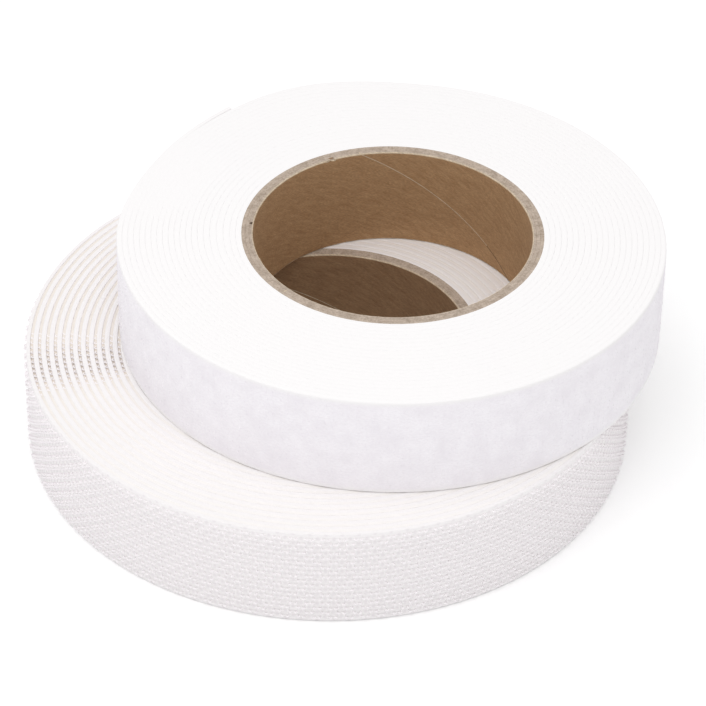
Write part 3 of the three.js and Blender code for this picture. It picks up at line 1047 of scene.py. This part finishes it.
hooks = hook_field("hook_tape_hooks", field_cells, field_start, FIELD_SEED)
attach(hooks, "hook_roll")
free_hooks = hook_field("hook_tape_free_hooks", free_cells, free_start, FREE_SEED)
bend_tail(free_hooks)

# %% [markdown]
# Between the inner turns the hooks are packed. Thousands of single hooks could be modelled in there,
# but all that shows is a layer a little below the edge, so that layer is a second strip that fills
# each gap up to the next turn. It is flush with the edge at the front, lies lower at the back left,
# where the roll is wound loosely, and drops well below it on the left, where the turns gape.

# %% Packed hooks between the inner turns
PACKED_ROUND = 0.03 * MM
FLUSH_DROP = 0.06 * MM
LOOSE_DROP = 0.25 * MM
LOOSE_BEARING = math.radians(165)
GAPE_DROP = 0.8 * MM
GAPE_BEARING = math.radians(191)
GAPE_NARROWNESS = 220

inner_length = cover_starts + TAIL_EASE - hook_start
packed_steps = round(inner_length / one_turn * STEPS_PER_TURN)
strip = flat_strip(inner_length, STRIP_WIDTH, PACKED_HEIGHT - HOOK_GROUND, packed_steps,
                   PACKED_ROUND, PACKED_ROUND, hook_start)
bmesh.ops.translate(strip, vec=(0, 0, HOOK_GROUND), verts=strip.verts)
for vert in strip.verts:
    bearing = hook_winding.bearing_at(hook_winding.turn_at(vert.co.x))
    loose = max(0, math.cos(bearing - LOOSE_BEARING)) ** 2
    gape = max(0, math.cos(bearing - GAPE_BEARING)) ** GAPE_NARROWNESS
    drop = FLUSH_DROP + LOOSE_DROP * loose + GAPE_DROP * gape
    vert.co.y = drop + vert.co.y * (1 - 2 * drop / STRIP_WIDTH)
packed = wound_object("hook_tape_packed_hooks", strip, hook_winding, packed_filament)
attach(packed, "hook_roll")
print("packed hooks:", triangles_of(packed.data), "triangles")

# %% [markdown]
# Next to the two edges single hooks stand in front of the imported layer, and show in the gaps where
# the turns gape. Only a row at each edge can ever be seen on the inner turns. Under the free end there
# are three rows, which show at its seam and when it is peeled off.

# %% Single hooks along the edges of the inner turns
EDGE_ROW_MARGIN = 0.45 * MM
EDGE_HOOK_SIDES = 3
EDGE_HOOK_STEPS = 3
EDGE_HOOK_POINTS = EDGE_HOOK_SIDES * (EDGE_HOOK_STEPS + 2)
EDGE_HOOK_SPACING = CELL_LENGTH / 2
COVERED_ROWS = 3
COVERED_HEIGHT = 1.9 * MM
COVERED_STEP = Vector((0.54, 0.5, 0)) * MM
EDGES = {"upper": (EDGE_ROW_MARGIN, 1, (31, 33)), "lower": (STRIP_WIDTH - EDGE_ROW_MARGIN, -1, (35, 37))}

for edge, (margin, inwards, seeds) in EDGES.items():
    row_step = (COVERED_STEP.x, inwards * COVERED_STEP.y, 0)
    stretches = ((f"hook_tape_{edge}_hooks", 0, cover_starts, 1, PACKED_HEIGHT),
                 (f"hook_tape_{edge}_covered_hooks", cover_starts, cover_ends, COVERED_ROWS, COVERED_HEIGHT))
    for (name, start, end, rows, height), seed in zip(stretches, seeds):
        count = int((end - start) / EDGE_HOOK_SPACING)
        mesh = spread_cells(name, one_hook(EDGE_HOOK_SIDES, EDGE_HOOK_STEPS, height),
                            (count, (EDGE_HOOK_SPACING, 0, 0)), (rows, row_step))
        unsettle(mesh, EDGE_HOOK_POINTS, EDGE_HOOK_SIDES, seed, 0, HOOK_HEIGHT_SPREAD)
        shift(mesh, start, margin)
        edge_hooks = wound_object(name, mesh, hook_winding, filament)
        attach(edge_hooks, "hook_roll")
        print(name, count * rows, "hooks,", triangles_of(mesh), "triangles")

# %% [markdown]
# The felt of the loop tape is made of loops far too fine to be modelled one by one, and its material
# draws them. Only the tallest, which stand out of the felt and catch the hooks, are made: small
# arches, a thread spun half round, scattered over the outer turn and the free end.

# %% Tall loops on the loop tape
PILE_THREAD = 0.05 * MM
PILE_RADIUS = 0.32 * MM
PILE_ROOT = 0.15 * MM
PILE_SIDES = 3
PILE_STEPS = 4
PILE_POINTS = PILE_SIDES * (PILE_STEPS + 1)
PILE_SPACING = Vector((2.0, 1.05)) * MM
PILE_MARGIN = 1.1 * MM
PILE_TURN_SPREAD = math.pi
PILE_HEIGHT_SPREAD = 0.4
PILE_SCATTER = 0.4 * MM


def one_loop():
    """A small arch that stands on the felt at the origin of the flat strip."""
    bm = bmesh.new()
    root = LOOP_THICKNESS - PILE_ROOT
    bmesh.ops.create_circle(bm, cap_ends=True, segments=PILE_SIDES, radius=PILE_THREAD)
    bmesh.ops.translate(bm, vec=(0, 0, root), verts=bm.verts)
    start = bm.faces[:] + bm.edges[:] + bm.verts[:]
    bmesh.ops.spin(bm, geom=start, cent=(PILE_RADIUS, 0, root), axis=(0, 1, 0), angle=math.pi,
                   steps=PILE_STEPS)
    bmesh.ops.recalc_face_normals(bm, faces=bm.faces)
    return bm


rows = int((STRIP_WIDTH - 2 * PILE_MARGIN) / PILE_SPACING.y) + 1
outer_turn = loop_split - loop_winding.one_turn_before(loop_split)
stretches = (("loop_tape_tall_loops", loop_split - outer_turn, outer_turn, 21),
             ("loop_tape_free_loops", loop_split, loop_end - loop_split - PILE_SPACING.x, 22))
for name, start, length, seed in stretches:
    columns = int(length / PILE_SPACING.x)
    mesh = spread_cells(name, one_loop(), (columns, (PILE_SPACING.x, 0, 0)), (rows, (0, PILE_SPACING.y, 0)))
    unsettle(mesh, PILE_POINTS, PILE_SIDES, seed, PILE_TURN_SPREAD, PILE_HEIGHT_SPREAD, PILE_SCATTER)
    shift(mesh, start, PILE_MARGIN)
    pile = wound_object(name, mesh, loop_winding, loop_nylon)
    if start == loop_split:
        bend_tail(pile)
    else:
        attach(pile, "loop_roll")
    print(name, columns * rows, "loops,", triangles_of(mesh), "triangles")
